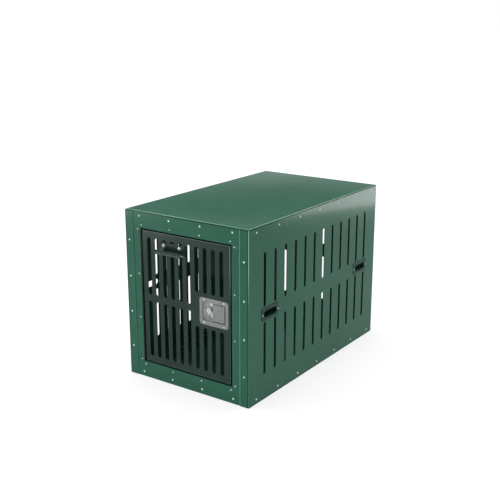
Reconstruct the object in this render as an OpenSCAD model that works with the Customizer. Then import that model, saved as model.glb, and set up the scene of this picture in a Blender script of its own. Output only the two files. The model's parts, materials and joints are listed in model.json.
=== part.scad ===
/* [Crate body] */
// Width over the two side panels
body_w = 610; // [500:1:740]
// Depth from the front flanges to the rear flanges
body_d = 1016; // [840:1:1230]
// Height from the underside to the top face
body_h = 711; // [590:1:860]
// Thickness of the aluminium sheet
sheet_t = 2; // [1.6:0.1:2.5]
// Outside radius of the folded corners
bend_r = 4; // [3:0.5:5]
// Width of the side panels' flanges at front and rear
flange_w = 43; // [35:1:52]
// Height of the flanges turned into the top and floor panels
tray_flange_h = 40; // [33:1:48]
// Gap under the wall panels, so that the floor panel carries the crate
skirt_gap = 0.5; // [0.2:0.1:1]

/* [Wall slots] */
// Width of a slot in the side and back panels
slot_w = 15; // [12.5:0.5:18]
// Distance between slot columns
slot_pitch = 73; // [60:0.5:88]
// Height of the plain band above and below the slots
slot_end_band = 108; // [90:1:130]
// Height of the plain band between the two slot rows
slot_mid_band = 64; // [55:1:77]
// Least distance from a slot's centre to the panel's edge
slot_side_band = 90; // [75:1:108]

/* [Door opening] */
// Width of the front beside the opening
jamb_w = 79; // [65:0.5:95]
// Gap between the door and the opening at top and bottom
door_gap = 6; // [5:0.25:7.25]
// Gap between the door and the opening at the latch side
latch_gap = 8; // [6.5:0.25:9.75]
// Distance of the door's face behind the front panel's face
door_inset = 2; // [1.5:0.1:2.5]
// Depth of the door's folded edges
door_depth = 20; // [16.5:0.5:24]

/* [Door slots] */
// Width of a door slot
door_slot_w = 19; // [15.5:0.5:23]
// Distance between door slot columns
door_slot_pitch = 40; // [33:0.5:48]
// Plain band between a slot's end and the door's edge
door_end_band = 27.5; // [23:0.5:33]
// Plain band between the two slot rows
door_mid_band = 28; // [20:0.5:34]
// Least distance from a slot's centre to the door's edge
door_side_band = 30; // [26:1:36]
// Distance of the slot pattern's middle from the opening's middle, towards the hinge
door_slot_shift = 3.5; // [2.5:0.5:4.5]
// Plain door between the latch flange and the slots above and below it
latch_margin = 15.5; // [12:0.5:20]

/* [Door stops] */
// Width of a stop's leaf on the front panel
stop_leaf_w = 24; // [20:0.5:29]
// Distance from the opening's edge to a stop's leaf
stop_set_back = 3; // [2:0.5:4]
// Reach of a stop's lip past the opening's edge
stop_reach = 15; // [12.5:0.5:18]
// Gap between a stop's leaf and the flange of the top or floor panel
stop_gap = 2.5; // [2:0.5:3]
// Gap between the closed door and its stops
stop_clear = 0.5; // [0.3:0.1:0.8]
// Thickness of the strike plate behind the latch-side stop
strike_t = 1.5; // [1.2:0.1:1.8]

/* [Hinge] */
// Outside radius of the hinge knuckles
knuckle_r = 3; // [2.5:0.1:3.6]
// Radius of the hinge pin
hinge_pin_r = 1.5; // [1.2:0.1:1.8]
// Thickness of the hinge leaves
leaf_t = 1.2; // [1:0.1:1.4]
// Length of one knuckle
knuckle_len = 40; // [32:1:48]
// Distance of the hinge axis in front of the front panel
hinge_front = 1; // [0.8:0.1:1.4]
// Gap between the hinge knuckles and the edge of the opening
hinge_gap = 0.6; // [0.5:0.05:0.8]
// Width of the door leaf
door_leaf_w = 18; // [15:0.5:20]
// Width of the frame leaf behind the front panel
frame_leaf_w = 25; // [20.5:0.5:30]

/* [Latch] */
// Width of the latch flange
latch_w = 139; // [115:0.5:167]
// Height of the latch flange
latch_h = 111; // [92:0.5:134]
// Corner radius of the latch flange
latch_corner_r = 12; // [10:0.5:14]
// Distance from the latch flange to the door's edge
latch_edge = 9; // [8:0.5:11]
// Thickness of the pan's sheet
pan_t = 1.5; // [1.2:0.1:1.8]
// Outside radius of the recess's corners
pan_corner_r = 6; // [4:0.5:7]
// Width of the latch flange beside the recess
latch_rim_w = 13; // [10.5:0.5:16]
// Height of the latch flange above and below the recess
latch_rim_h = 16.5; // [13.5:0.5:20]
// Width of the paddle
paddle_w = 59.5; // [49:0.5:72]
// Outside radius of the paddle's folded edges
paddle_bend_r = 3; // [2.5:0.1:3.6]
// Radius of the paddle's pin
paddle_pin_r = 2.5; // [2:0.1:3]
// Distance of the paddle's pin behind the door's face
paddle_pin_depth = 5; // [4.2:0.1:6]
// Height of the bolt
bolt_h = 22; // [18:0.5:26.5]
// Thickness of the bolt
bolt_t = 10; // [8:0.5:12]
// Reach of the bolt behind the strike
bolt_throw = 12; // [10:0.1:14.4]
// Radius of the key cylinder
cylinder_r = 11; // [9:0.1:13.2]
// Radius of the turning key plug
plug_r = 6.5; // [5.4:0.1:7.8]

/* [Hand grips] */
// Length of the rim beyond each end of the hand hole
grip_end = 12.5; // [11:0.5:15]
// Height of the rim above and below the hand hole
grip_edge = 13.5; // [11:0.5:16.5]
// Thickness of a hand grip's rim
grip_t = 2.5; // [2:0.1:3]
// Corner radius of a hand grip's rim
grip_corner_r = 12; // [9:0.5:14]
// Width of the chamfer round a hand grip's rim
grip_chamfer = 1; // [0.8:0.1:1.2]
// Length of the hand hole
hand_hole_w = 93; // [77:0.5:112]
// Height of the hand hole
hand_hole_h = 27; // [22.5:0.5:32.5]
// Wall of the grip's spigot in the panel
grip_wall = 2; // [1.6:0.1:2.4]
// Distance of the hand hole below the middle of its rim
hand_hole_drop = 2; // [1.5:0.5:3]

/* [Door pull] */
// Length of the door pull
pull_w = 130; // [108:1:156]
// Thickness of the door pull's strip
pull_t = 3; // [2.5:0.1:3.5]
// Outside radius of the pull's curled lip
pull_r = 18; // [15:0.5:22]
// Height of the flat back above the curl
pull_back_h = 29; // [24:0.5:35]
// Height of the lip above the curl
pull_lip_h = 5; // [4:0.5:8]
// Radius of the pull's bolts
pull_bolt_r = 4; // [3:0.1:4.8]
// Distance of the bolts below the pull's top edge
pull_bolt_drop = 14.5; // [12:0.5:16]

/* [Rivets] */
// Diameter of a rivet's head
rivet_head_d = 9; // [7.5:0.5:11]
// Height of a rivet's head
rivet_head_h = 2.2; // [1.8:0.1:2.4]
// Diameter of a rivet's shank
rivet_d = 4.8; // [4:0.1:5.8]
// Length of a rivet's blind end
rivet_tail = 5; // [4:0.5:6]
// Largest distance between rivets in a row
rivet_pitch = 160; // [130:1:190]
// Distance of a rivet row from the top or bottom edge
rivet_edge = 21; // [17:0.5:25.5]

/* [Hidden] */
$fn = 48;

// Small clearances
running_clear = 0.05;
seat_clear = 0.1;
slide_clear = 0.3;
cut_over = 1;

// Planes of the front and back, from the outside in
front_y = -body_d / 2;
panel_y = front_y + sheet_t;
frame_y = panel_y + sheet_t;
mid_z = body_h / 2;
wall_top = body_h - bend_r;
wall_h = wall_top - skirt_gap;
panel_w = body_w - 2 * (bend_r + seat_clear);
tray_w = body_w - 2 * sheet_t;
tray_d = body_d - 4 * sheet_t;

// Opening and door
sill_h = tray_flange_h + stop_gap + stop_leaf_w + stop_set_back;
open_w = body_w - 2 * jamb_w;
open_h = body_h - 2 * sill_h;
hinge_x = -open_w / 2 + knuckle_r + hinge_gap;
hinge_y = panel_y - hinge_front;
leaf_out = knuckle_r - 0.1;
door_x0 = hinge_x + leaf_out;
door_x1 = open_w / 2 - latch_gap;
door_w = door_x1 - door_x0;
door_h = open_h - 2 * door_gap;
door_x = (door_x0 + door_x1) / 2;
door_y = panel_y + door_inset;
stop_y = door_y + door_depth + stop_clear;

// Slot patterns: rows above and below the middle, columns either side of the centre
slot_len = (body_h - 2 * slot_end_band - slot_mid_band) / 2;
slot_row_z = (slot_mid_band + slot_len) / 2;
side_cols = 2 * floor((body_d / 2 - slot_side_band) / slot_pitch + 0.5);
back_cols = 2 * floor((body_w / 2 - slot_side_band) / slot_pitch + 0.5);
door_cols = 2 * floor((open_w / 2 - door_side_band) / door_slot_pitch + 0.5);
door_slots_x = [for (u = columns(door_cols, door_slot_pitch)) u - door_slot_shift];
door_slot_top = door_h / 2 - door_end_band;

// Rivet rows
rivet_hole_r = rivet_d / 2 + seat_clear;
side_rivet_margin = 50.5;
front_rivet_margin = flange_w + 32;
flange_rivet_margin = 126;
stop_rivet_margin = 6.5;
stop_rivet_out = stop_set_back + 10;
door_leaf_rivet_margin = 40;
side_rivets_y = spread(body_d - 2 * side_rivet_margin);
front_rivets_x = spread(body_w - 2 * front_rivet_margin);
flange_rivets_z = spread(body_h - 2 * flange_rivet_margin);
flange_rivet_x = body_w / 2 - flange_w / 2;
stop_rivets_x = spread(open_w - 2 * stop_rivet_margin);
stop_rivets_z = [for (i = [-1.5:1:1.5]) i * (open_h - 2 * stop_rivet_margin) / 3];

// Latch, measured from its centre on the door's face: x across, y inwards, z up
latch_x = door_x1 - latch_edge - latch_w / 2;
pan_w = latch_w - 2 * latch_rim_w;
pan_h = latch_h - 2 * latch_rim_h;
pan_depth = stop_y - door_y + sheet_t + strike_t + slide_clear - seat_clear;
pan_in_w = pan_w - 2 * pan_t;
pan_in_h = pan_h - 2 * pan_t;
pivot_x = pan_in_w / 2 - 7;
paddle_edge_x = pivot_x + 3;
paddle_h = pan_in_h - 2;
paddle_t = 2;
paddle_fold = 6;
hub_r = paddle_pin_r + 2;
ear_len = 10;
tail_t = 4;
tail_h = 12;
tail_play = 2.4;
bolt_y = pan_depth + slide_clear;
tail_reach = 0.65 * bolt_t;
tail_len = bolt_y + tail_reach - paddle_pin_depth;
strike_x = open_w / 2 - stop_reach - latch_x;
bolt_tip_x = strike_x + bolt_throw;
bolt_travel = bolt_throw + 1.5;
bolt_end_x = pivot_x - 12;
bolt_len = bolt_tip_x - bolt_end_x;
case_wall = 1.5;
case_foot = 8;
case_end_x = bolt_end_x - bolt_travel - 10;
case_mouth_x = strike_x - 2.5;
cylinder_x = -pan_in_w / 2 + 22;
cylinder_face = 10;
cylinder_back = pan_depth + bolt_t + 6;
plug_proud = 0.4;
nut_t = 4;
cam_t = 2.5;
latch_rivet_x = latch_w / 2 - 21.5;
latch_rivet_z = (pan_h + latch_h) / 4;
latch_rivet_d = 7;
latch_shank_d = 4;

// Strike plate
strike_h = 60;
strike_w = 14;
strike_screw_z = 22;

// Hand grips, half-way between the last two slot columns
grip_y = (side_cols / 2 - 1) * slot_pitch;
grip_z = mid_z + 1;
grip_w = hand_hole_w + 2 * grip_end;
grip_h = hand_hole_h + 2 * grip_edge;
grip_rivet_u = (hand_hole_w + grip_end) / 2;

// Door pull, centred on the fourth door slot so that its bolts pass through the third and fifth
pull_x = -1.5 * door_slot_pitch - door_slot_shift;
pull_top = mid_z + door_slot_top - 8;
pull_bolt_z = pull_top - pull_bolt_drop;

// Places of a row of rivets over a length, no further apart than the largest pitch
function spread(length) =
    let (gaps = ceil(length / rivet_pitch))
    [for (i = [0:gaps]) (i / gaps - 0.5) * length];
function columns(count, pitch) = [for (i = [0:count - 1]) (i - (count - 1) / 2) * pitch];
function beside_latch(x) = abs(x - latch_x) < latch_w / 2 + door_slot_w;

module rounded_rect(w, h, r) {
    square([w - 2 * r, h], center = true);
    square([w, h - 2 * r], center = true);
    for (x = [-1, 1], y = [-1, 1]) translate([x * (w / 2 - r), y * (h / 2 - r)]) circle(r);
}

// Slot with round ends; the longer side runs along x or y
module round_slot(w, h) {
    r = min(w, h) / 2;
    square([w > h ? w - 2 * r : w, w > h ? h : h - 2 * r], center = true);
    for (s = [-1, 1]) translate(w > h ? [s * (w / 2 - r), 0] : [0, s * (h / 2 - r)]) circle(r);
}

// Stand a flat drawing upright, with its thickness from y inwards
module upright(y, t) {
    translate([0, y + t, 0]) rotate([90, 0, 0]) linear_extrude(t) children();
}

// Round hole along y or x through a wall
module hole_y(x, y, z, r, len) {
    translate([x, y, z]) rotate([-90, 0, 0]) cylinder(r = r, h = len);
}
module hole_x(x, y, z, r, len) {
    translate([x, y, z]) rotate([0, 90, 0]) cylinder(r = r, h = len);
}

// Folded tray standing on its floor: square corners, round folds
module tray_profile(w, h, r) {
    intersection() {
        translate([0, h]) rounded_rect(w, 2 * h, r);
        translate([-w, 0]) square([2 * w, h]);
    }
}
module tray_block(w, d, h, r) {
    intersection() {
        rotate([90, 0, 0]) linear_extrude(d, center = true) tray_profile(w, h, r);
        rotate([90, 0, 90]) linear_extrude(w, center = true) tray_profile(d, h, r);
    }
}
module tray(w, d, h, t = sheet_t, r = bend_r) {
    difference() {
        tray_block(w, d, h, r);
        translate([0, 0, t]) tray_block(w - 2 * t, d - 2 * t, h, r - t);
    }
}

// Blind rivet: domed head above z = 0, shank down through the grip, swollen blind end below it
module rivet(grip, head_d = rivet_head_d, head_h = rivet_head_h, shank_d = rivet_d, tail = rivet_tail) {
    dome_r = (pow(head_d / 2, 2) + pow(head_h, 2)) / (2 * head_h);
    rotate_extrude() {
        intersection() {
            translate([0, head_h - dome_r]) circle(dome_r);
            square([head_d / 2, head_h]);
        }
        translate([0, -grip - tail]) square([shank_d / 2, grip + tail + head_h / 2]);
        if (tail > 0) translate([0, -grip - tail]) square([shank_d * 0.73, tail]);
    }
}
module rivet_front(x, y, z, grip) { translate([x, y, z]) rotate([90, 0, 0]) rivet(grip); }
module rivet_back(x, y, z, grip) { translate([x, y, z]) rotate([-90, 0, 0]) rivet(grip); }

// Two rows of wall slots, drawn flat about the panel's centre
module wall_slots(count) {
    for (u = columns(count, slot_pitch), s = [-1, 1])
        translate([u, s * slot_row_z]) round_slot(slot_w, slot_len);
}

// Side panel on the right: web, folded flanges, slots, hand holes and rivet holes
module side_section() {
    difference() {
        rounded_rect(2 * flange_w, body_d, bend_r);
        rounded_rect(2 * (flange_w - sheet_t), body_d - 2 * sheet_t, bend_r - sheet_t);
        translate([-flange_w, 0]) square([2 * flange_w, 2 * body_d], center = true);
    }
}
module side_cuts() {
    spigot_cut = grip_wall + slide_clear;
    translate([0, mid_z]) wall_slots(side_cols);
    for (s = [-1, 1]) {
        translate([s * grip_y, grip_z - hand_hole_drop])
            round_slot(hand_hole_w + 2 * spigot_cut, hand_hole_h + 2 * spigot_cut);
        for (e = [-1, 1])
            translate([s * grip_y + e * grip_rivet_u, grip_z - hand_hole_drop]) circle(rivet_hole_r);
    }
    for (y = side_rivets_y, z = [rivet_edge, body_h - rivet_edge])
        translate([y, z]) circle(rivet_hole_r);
}
module side_panel() {
    difference() {
        translate([body_w / 2 - flange_w, 0, skirt_gap]) linear_extrude(wall_h) side_section();
        translate([body_w / 2 - sheet_t - cut_over, 0, 0]) rotate([90, 0, 90])
            linear_extrude(sheet_t + 2 * cut_over) side_cuts();
        for (s = [-1, 1], z = flange_rivets_z)
            translate([0, s * (body_d - sheet_t) / 2, 0])
                hole_y(flange_rivet_x, -sheet_t, mid_z + z, rivet_hole_r, 2 * sheet_t);
    }
}
module right_side_panel() { color("darkgreen") side_panel(); }
module left_side_panel() { color("darkgreen") mirror([1, 0, 0]) side_panel(); }

// Holes that the front and back panels share: flange rows, top row and bottom row
module end_panel_holes() {
    for (s = [-1, 1], z = flange_rivets_z)
        translate([s * flange_rivet_x, mid_z + z]) circle(rivet_hole_r);
    for (x = front_rivets_x, z = [rivet_edge, body_h - rivet_edge])
        translate([x, z]) circle(rivet_hole_r);
}
module stop_holes() {
    for (x = stop_rivets_x, s = [-1, 1])
        translate([x, mid_z + s * (open_h / 2 + stop_rivet_out)]) circle(rivet_hole_r);
    for (z = stop_rivets_z, s = [-1, 1])
        translate([s * (open_w / 2 + stop_rivet_out), mid_z + z]) circle(rivet_hole_r);
}
module front_panel() {
    color("darkgreen") upright(panel_y, sheet_t) difference() {
        translate([-panel_w / 2, skirt_gap]) square([panel_w, wall_h]);
        translate([0, mid_z]) square([open_w, open_h], center = true);
        end_panel_holes();
        stop_holes();
    }
}
module back_panel() {
    color("darkgreen") upright(-frame_y, sheet_t) difference() {
        translate([-panel_w / 2, skirt_gap]) square([panel_w, wall_h]);
        translate([0, mid_z]) wall_slots(back_cols);
        end_panel_holes();
    }
}

// Tray holes for the rivet rows of the walls around it
module tray_with_holes() {
    difference() {
        tray(tray_w, tray_d, tray_flange_h);
        for (y = side_rivets_y) hole_x(-body_w, y, rivet_edge, rivet_hole_r, 2 * body_w);
        for (x = front_rivets_x) hole_y(x, -body_d, rivet_edge, rivet_hole_r, 2 * body_d);
    }
}
module floor_panel() { color("darkgreen") tray_with_holes(); }
module top_panel() { color("darkgreen") translate([0, 0, body_h]) mirror([0, 0, 1]) tray_with_holes(); }

// Folded stop strip: leaf on the front panel, web, lip behind the door's edge
module stop_section() {
    lip_v = stop_y - frame_y;
    translate([stop_set_back, 0]) square([stop_leaf_w, sheet_t]);
    translate([stop_set_back, 0]) square([sheet_t, lip_v + sheet_t]);
    translate([-stop_reach, lip_v]) square([stop_reach + stop_set_back + sheet_t, sheet_t]);
}
module long_stop() {
    difference() {
        translate([0, frame_y, open_h / 2]) rotate([90, 0, 90])
            translate([0, 0, -open_w / 2]) linear_extrude(open_w + stop_set_back + stop_leaf_w)
                mirror([1, -1]) stop_section();
        for (x = stop_rivets_x)
            hole_y(x, panel_y, open_h / 2 + stop_rivet_out, rivet_hole_r, 3 * sheet_t);
    }
}
module top_door_stop() { color("darkgreen") translate([0, 0, mid_z]) long_stop(); }
module bottom_door_stop() { color("darkgreen") translate([0, 0, mid_z]) mirror([0, 0, 1]) long_stop(); }
module latch_door_stop() {
    len = open_h - 2 * (stop_reach + cut_over);
    color("darkgreen") difference() {
        translate([open_w / 2, frame_y, mid_z - len / 2]) linear_extrude(len) stop_section();
        for (z = stop_rivets_z)
            hole_y(open_w / 2 + stop_rivet_out, panel_y, mid_z + z, rivet_hole_r, 3 * sheet_t);
        strike_holes();
    }
}

// Strike plate that the bolt catches behind, and its countersunk screws
strike_mid_x = open_w / 2 - stop_reach + strike_w / 2;
strike_back_y = stop_y + sheet_t + strike_t;
strike_screw_r = 1.6;
module strike_screw(extra) {
    rotate([90, 0, 0]) {
        cylinder(r = strike_screw_r + extra, h = sheet_t + strike_t);
        cylinder(r1 = 2 * strike_screw_r + extra, r2 = strike_screw_r + extra, h = strike_screw_r);
    }
}
module strike_holes() {
    for (s = [-1, 1])
        translate([strike_mid_x, strike_back_y, mid_z + s * strike_screw_z]) strike_screw(seat_clear / 2);
}
module strike_plate() {
    color("silver") difference() {
        translate([strike_mid_x, 0, mid_z]) upright(strike_back_y - strike_t, strike_t)
            square([strike_w, strike_h], center = true);
        strike_holes();
    }
}
module strike_screws() {
    color("silver") for (s = [-1, 1])
        translate([strike_mid_x, strike_back_y, mid_z + s * strike_screw_z]) strike_screw(0);
}

// Rivet groups
module side_row_rivets() {
    for (y = side_rivets_y, z = [rivet_edge, body_h - rivet_edge])
        translate([body_w / 2, y, z]) rotate([0, 90, 0]) rivet(2 * sheet_t);
}
module right_side_rivets() { color("gainsboro") side_row_rivets(); }
module left_side_rivets() { color("gainsboro") mirror([1, 0, 0]) side_row_rivets(); }
module front_flange_rivets() {
    color("gainsboro") for (s = [-1, 1], z = flange_rivets_z)
        rivet_front(s * flange_rivet_x, front_y, mid_z + z, 2 * sheet_t);
}
module rear_flange_rivets() {
    color("gainsboro") for (s = [-1, 1], z = flange_rivets_z)
        rivet_back(s * flange_rivet_x, -front_y, mid_z + z, 2 * sheet_t);
}
module front_panel_rivets() {
    color("gainsboro") for (x = front_rivets_x, z = [rivet_edge, body_h - rivet_edge])
        rivet_front(x, panel_y, z, 2 * sheet_t);
}
module back_panel_rivets() {
    color("gainsboro") for (x = front_rivets_x, z = [rivet_edge, body_h - rivet_edge])
        rivet_back(x, -panel_y, z, 2 * sheet_t);
}
stop_head_d = 7;
stop_head_h = 1.8;
module stop_rivet(x, z, grip) {
    translate([x, panel_y, z]) rotate([90, 0, 0]) rivet(grip, stop_head_d, stop_head_h);
}
module door_stop_rivets() {
    color("gainsboro") {
        for (x = stop_rivets_x, s = [-1, 1])
            stop_rivet(x, mid_z + s * (open_h / 2 + stop_rivet_out), 2 * sheet_t);
        for (z = stop_rivets_z) stop_rivet(open_w / 2 + stop_rivet_out, mid_z + z, 2 * sheet_t);
    }
}
module hinge_frame_rivets() {
    color("gainsboro") for (z = stop_rivets_z)
        stop_rivet(-open_w / 2 - stop_rivet_out, mid_z + z, sheet_t + leaf_t);
}

// Continuous hinge: knuckles alternate between the frame leaf (0) and the door leaf (1)
knuckle_count = floor(door_h / knuckle_len);
hinge_len = knuckle_count * knuckle_len;
knuckle_end = 0.2;
module knuckles(which, r, inset) {
    for (i = [which:2:knuckle_count - 1])
        translate([hinge_x, hinge_y, mid_z - hinge_len / 2 + i * knuckle_len + inset])
            cylinder(r = r, h = knuckle_len - 2 * inset);
}
module hinge_bore() {
    translate([hinge_x, hinge_y, mid_z - hinge_len / 2 - cut_over])
        cylinder(r = hinge_pin_r + running_clear, h = hinge_len + 2 * cut_over);
}
module hinge_leaf(which) {
    difference() {
        union() {
            translate([0, 0, mid_z - hinge_len / 2]) linear_extrude(hinge_len) children();
            knuckles(which, knuckle_r, knuckle_end);
        }
        knuckles(1 - which, knuckle_r + slide_clear, -knuckle_end);
        hinge_bore();
    }
}
module hinge_frame_leaf() {
    leg_x = -open_w / 2 - frame_leaf_w;
    color("darkgreen") difference() {
        hinge_leaf(0) {
            translate([hinge_x - leaf_out, hinge_y]) square([leaf_t, frame_y + leaf_t - hinge_y]);
            translate([leg_x, frame_y]) square([hinge_x - leaf_out + leaf_t - leg_x, leaf_t]);
        }
        for (z = stop_rivets_z)
            hole_y(-open_w / 2 - stop_rivet_out, panel_y, mid_z + z, rivet_hole_r, 3 * sheet_t);
    }
}
door_leaf_rivet_y = hinge_y + door_leaf_w - 5;
door_leaf_rivets_z = spread(door_h - 2 * door_leaf_rivet_margin);
module hinge_door_holes() {
    for (z = door_leaf_rivets_z)
        hole_x(door_x0 - 2 * leaf_t, door_leaf_rivet_y, mid_z + z, rivet_hole_r, 2 * (leaf_t + sheet_t));
}
module hinge_door_leaf() {
    color("dimgray") difference() {
        hinge_leaf(1) translate([door_x0 - leaf_t, hinge_y]) square([leaf_t, door_leaf_w]);
        hinge_door_holes();
    }
}
module hinge_pin() {
    color("silver") translate([hinge_x, hinge_y, mid_z - hinge_len / 2])
        cylinder(r = hinge_pin_r, h = hinge_len);
}
// Rivets with their domed heads inside the door's edge and flush ends in the hinge gap
module hinge_door_rivets() {
    color("gainsboro") for (z = door_leaf_rivets_z)
        translate([door_x0 + sheet_t, door_leaf_rivet_y, mid_z + z]) rotate([0, 90, 0])
            rivet(sheet_t + leaf_t, stop_head_d, stop_head_h, rivet_d, 0);
}

// Hand grip: chamfered rim on the panel's face and a spigot through it, drawn on the right side
module grip_outline(inset) {
    rounded_rect(grip_w - 2 * inset, grip_h - 2 * inset, grip_corner_r - inset, $fn = 32);
}
module grip_rim() {
    hull() {
        linear_extrude(grip_t - grip_chamfer) grip_outline(0);
        linear_extrude(grip_t) grip_outline(grip_chamfer);
    }
}
module hand_grip(front) {
    translate([body_w / 2, front * grip_y, grip_z]) rotate([90, 0, 90]) difference() {
        union() {
            grip_rim();
            translate([0, -hand_hole_drop, -sheet_t]) linear_extrude(sheet_t + grip_t / 2)
                round_slot(hand_hole_w + 2 * grip_wall, hand_hole_h + 2 * grip_wall);
        }
        translate([0, -hand_hole_drop, -sheet_t - cut_over])
            linear_extrude(sheet_t + grip_t + 2 * cut_over) round_slot(hand_hole_w, hand_hole_h);
        for (e = [-1, 1]) translate([e * grip_rivet_u, -hand_hole_drop, -cut_over])
            cylinder(r = rivet_hole_r, h = grip_t + 2 * cut_over);
    }
}
module front_right_hand_grip() { color("black") hand_grip(-1); }
module rear_right_hand_grip() { color("black") hand_grip(1); }
module front_left_hand_grip() { color("black") mirror([1, 0, 0]) hand_grip(-1); }
module rear_left_hand_grip() { color("black") mirror([1, 0, 0]) hand_grip(1); }
module hand_grip_rivets() {
    color("gainsboro") for (side = [0, 1], front = [-1, 1], e = [-1, 1])
        mirror([side, 0, 0])
            translate([body_w / 2 + grip_t, front * grip_y + e * grip_rivet_u, grip_z - hand_hole_drop])
                rotate([0, 90, 0]) rivet(grip_t + sheet_t, stop_head_d, stop_head_h);
}

// Door panel: folded tray with slots, latch cut-out and rivet holes
module door_slots() {
    for (x = door_slots_x, s = [-1, 1]) {
        inner = beside_latch(x) ? latch_h / 2 + latch_margin : door_mid_band / 2;
        len = door_slot_top - inner;
        translate([x, s * (inner + len / 2)]) round_slot(door_slot_w, len);
    }
}
module latch_rivet_places() {
    for (sx = [-1, 1], sz = [-1, 1]) translate([sx * latch_rivet_x, sz * latch_rivet_z]) children();
}
module door_panel() {
    color("dimgray") difference() {
        translate([door_x, door_y, mid_z]) rotate([-90, 0, 0]) tray(door_w, door_h, door_depth);
        translate([0, 0, mid_z]) upright(door_y - cut_over, sheet_t + 2 * cut_over) {
            door_slots();
            translate([latch_x, 0]) {
                rounded_rect(pan_w + 2 * slide_clear, pan_h + 2 * slide_clear, pan_corner_r);
                latch_rivet_places() circle(latch_shank_d / 2 + seat_clear);
            }
        }
        hinge_door_holes();
    }
}

// Place latch pieces: origin at the latch's centre on the door's face
module at_latch() { translate([latch_x, door_y, mid_z]) children(); }

// Pan: flange on the door's face, recess behind it, holes for pin, tail and key cylinder
module latch_pan() {
    color("silver") at_latch() difference() {
        union() {
            upright(-pan_t, pan_t) rounded_rect(latch_w, latch_h, latch_corner_r);
            upright(-pan_t / 2, pan_depth + pan_t / 2) rounded_rect(pan_w, pan_h, pan_corner_r);
        }
        upright(-pan_t - cut_over, pan_depth + cut_over)
            rounded_rect(pan_in_w, pan_in_h, pan_corner_r - pan_t);
        translate([pivot_x, paddle_pin_depth, -pan_h / 2 - cut_over])
            cylinder(r = paddle_pin_r + running_clear, h = pan_h + 2 * cut_over);
        upright(pan_depth - pan_t - cut_over, pan_t + 2 * cut_over) {
            translate([pivot_x - bolt_travel - 2, -tail_h / 2 - 1]) square([bolt_travel + 6, tail_h + 2]);
            translate([cylinder_x, 0]) circle(cylinder_r + seat_clear);
        }
        upright(-2 * pan_t, 3 * pan_t) latch_rivet_places() circle(latch_shank_d / 2 + seat_clear);
    }
}
module latch_rivets() {
    color("silver") at_latch() translate([0, -pan_t, 0]) rotate([90, 0, 0])
        latch_rivet_places() rivet(pan_t + sheet_t, latch_rivet_d, 1.6, latch_shank_d, 4);
}
module paddle_pin() {
    color("silver") at_latch() translate([pivot_x, paddle_pin_depth, -pan_h / 2])
        cylinder(r = paddle_pin_r, h = pan_h);
}

// Paddle: folded plate over the right of the recess, ears and a barrel on the pin, tail into the bolt
module latch_paddle() {
    free_x = paddle_edge_x - paddle_w;
    face = -0.5;
    color("lightgray") at_latch() difference() {
        union() {
            difference() {
                translate([free_x + paddle_w / 2, face, 0]) rotate([-90, 0, 0])
                    tray(paddle_w, paddle_h, paddle_fold + paddle_t, paddle_t, paddle_bend_r);
                translate([pivot_x - hub_r - 2, face + paddle_t, -paddle_h])
                    cube([paddle_w, paddle_fold + 1, 2 * paddle_h]);
            }
            translate([pivot_x, paddle_pin_depth, 0]) {
                for (s = [-1, 1]) translate([0, 0, s * (paddle_h - ear_len) / 2])
                    cylinder(r = hub_r, h = ear_len, center = true);
                cylinder(r = hub_r, h = tail_h + tail_t, center = true);
                translate([-tail_t / 2, 0, -tail_h / 2]) cube([tail_t, tail_len, tail_h]);
            }
        }
        translate([pivot_x, paddle_pin_depth, -paddle_h / 2 - cut_over])
            cylinder(r = paddle_pin_r + running_clear, h = paddle_h + 2 * cut_over);
    }
}

// Spring bolt: bevelled tip, pocket for the paddle's tail
module latch_bolt() {
    bevel = bolt_t * 0.75;
    color("silver") at_latch() difference() {
        translate([bolt_end_x, bolt_y, -bolt_h / 2]) linear_extrude(bolt_h) polygon([
            [0, 0],
            [bolt_len, 0],
            [bolt_len, bolt_t - bevel],
            [bolt_len - bevel, bolt_t],
            [0, bolt_t]
        ]);
        translate([pivot_x - tail_t / 2 - tail_play, bolt_y - cut_over, -tail_h / 2 - 1])
            cube([tail_t + 2 * tail_play, tail_reach + cut_over + 0.8, tail_h + 2]);
        translate([0, bolt_y + bolt_t / 2, 0])
            hole_x(bolt_end_x - cut_over, 0, 0, spring_r + spring_wire + slide_clear, 3 + cut_over);
    }
}

// Bolt case: hat-shaped channel spot-welded behind the pan, open at the strike side
module bolt_case() {
    in_h = bolt_h + 2 * slide_clear;
    in_d = bolt_t + 2 * slide_clear;
    len = case_mouth_x - case_end_x;
    color("silver") at_latch() translate([case_end_x, pan_depth, 0]) difference() {
        union() {
            translate([0, 0, -in_h / 2 - case_wall]) cube([len, in_d + case_wall, in_h + 2 * case_wall]);
            translate([0, 0, -in_h / 2 - case_wall - case_foot])
                cube([pan_w / 2 - case_end_x, case_wall, in_h + 2 * (case_wall + case_foot)]);
        }
        translate([case_wall, -cut_over, -in_h / 2]) cube([len, in_d + cut_over, in_h]);
    }
}

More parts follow.
